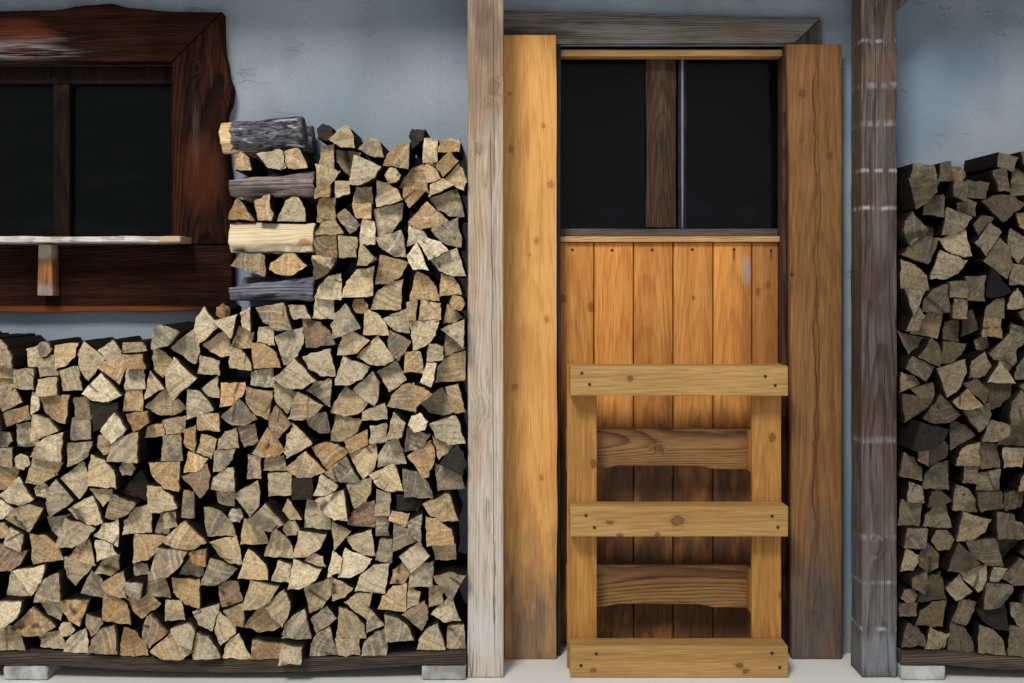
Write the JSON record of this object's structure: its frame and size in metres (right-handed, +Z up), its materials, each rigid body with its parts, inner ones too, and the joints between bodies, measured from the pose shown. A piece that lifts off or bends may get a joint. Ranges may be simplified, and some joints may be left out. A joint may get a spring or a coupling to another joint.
{
  "type": "log store",
  "caption": "Open-fronted log store against a wall, with posts, a board roof, stacked split logs, a boarded doorway and a shelf rack",
  "frame": {"origin": "centre of the bounding box's footprint, at ground level", "axes": "+X runs along the front from the left end post to the right one, +Y goes into the wall, +Z is up"},
  "size_m": [5.65, 0.95, 2.8637],
  "materials": {
    "back_wall": "matt limewashed render",
    "bay_window_glass": "smooth, dusty",
    "bay_window_inner_sill": "weathered, unfinished",
    "bay_window_mullion": "weathered, unfinished",
    "bay_window_sill": "weathered, unfinished",
    "bay_window_stile": "weathered, unfinished",
    "cladding_boards": "orange-brown stain",
    "cladding_rails": "orange-brown stain",
    "crib_cross_logs": "split and barked, unfinished",
    "crib_end_logs": "split and barked, unfinished",
    "door_casing_head": "worn dark red-brown stain",
    "door_casing_sides": "worn dark red-brown stain",
    "door_linings": "worn dark stain",
    "eaves_beam": "weathered, unfinished",
    "head_batten": "weathered, unfinished",
    "knee_braces": "weathered, unfinished",
    "left_bearers": "weathered, unfinished",
    "left_blocks": "rough cut",
    "left_stack_1": "split, dry, unfinished",
    "left_stack_2": "split, dry, unfinished",
    "left_stack_3": "split, dry, unfinished",
    "left_stack_4": "split, dry, unfinished",
    "left_stack_5": "split, dry, unfinished",
    "left_stack_6": "split, dry, unfinished",
    "post_far_left": "weathered, unfinished",
    "post_far_right": "weathered, unfinished",
    "post_left": "weathered, unfinished",
    "post_right": "weathered, unfinished",
    "rack_beams": "pallet wood, unfinished",
    "rack_blocks": "pallet wood, unfinished",
    "rack_slats": "pallet wood, unfinished",
    "rack_spacers": "pallet wood, unfinished",
    "rack_uprights": "pallet wood, unfinished",
    "rafters": "weathered, unfinished",
    "right_bearers": "weathered, unfinished",
    "right_blocks": "rough cut",
    "right_stack_1": "split, dry, unfinished",
    "right_stack_2": "split, dry, unfinished",
    "right_stack_3": "split, dry, unfinished",
    "roof_boards": "weathered, unfinished",
    "roof_cover_strips": "weathered, unfinished",
    "roof_purlins": "weathered, unfinished",
    "side_plank_left": "new pine, unfinished",
    "side_plank_right": "new pine, unfinished",
    "wall_plate": "weathered, unfinished",
    "window_casing_head": "worn dark red-brown stain",
    "window_casing_left": "worn dark red-brown stain",
    "window_casing_right": "worn dark red-brown stain",
    "window_casing_sill": "worn dark red-brown stain",
    "window_frame_rails": "weathered, unfinished",
    "window_frame_stiles": "weathered, unfinished",
    "window_glass": "smooth, dusty",
    "window_mullion": "weathered, unfinished",
    "window_shelf": "weathered, unfinished",
    "window_shelf_strut": "weathered, unfinished"
  },
  "bodies": {
    "root": {"back_wall": "back_wall", "bay_window_glass": "bay_window_glass", "bay_window_inner_sill": "bay_window_inner_sill", "bay_window_mullion": "bay_window_mullion", "bay_window_sill": "bay_window_sill", "bay_window_stile": "bay_window_stile", "cladding_boards": "cladding_boards", "cladding_rails": "cladding_rails", "crib_cross_logs": "crib_cross_logs", "crib_end_logs": "crib_end_logs", "door_casing_head": "door_casing_head", "door_casing_sides": "door_casing_sides", "door_linings": "door_linings", "eaves_beam": "eaves_beam", "head_batten": "head_batten", "knee_braces": "knee_braces", "left_bearers": "left_bearers", "left_blocks": "left_blocks", "left_stack_1": "left_stack_1", "left_stack_2": "left_stack_2", "left_stack_3": "left_stack_3", "left_stack_4": "left_stack_4", "left_stack_5": "left_stack_5", "left_stack_6": "left_stack_6", "post_far_left": "post_far_left", "post_far_right": "post_far_right", "post_left": "post_left", "post_right": "post_right", "rack_beams": "rack_beams", "rack_blocks": "rack_blocks", "rack_slats": "rack_slats", "rack_spacers": "rack_spacers", "rack_uprights": "rack_uprights", "rafters": "rafters", "right_bearers": "right_bearers", "right_blocks": "right_blocks", "right_stack_1": "right_stack_1", "right_stack_2": "right_stack_2", "right_stack_3": "right_stack_3", "roof_boards": "roof_boards", "roof_cover_strips": "roof_cover_strips", "roof_purlins": "roof_purlins", "side_plank_left": "side_plank_left", "side_plank_right": "side_plank_right", "wall_plate": "wall_plate", "window_casing_head": "window_casing_head", "window_casing_left": "window_casing_left", "window_casing_right": "window_casing_right", "window_casing_sill": "window_casing_sill", "window_frame_rails": "window_frame_rails", "window_frame_stiles": "window_frame_stiles", "window_glass": "window_glass", "window_mullion": "window_mullion", "window_shelf": "window_shelf", "window_shelf_strut": "window_shelf_strut"}
  },
  "joints": []
}
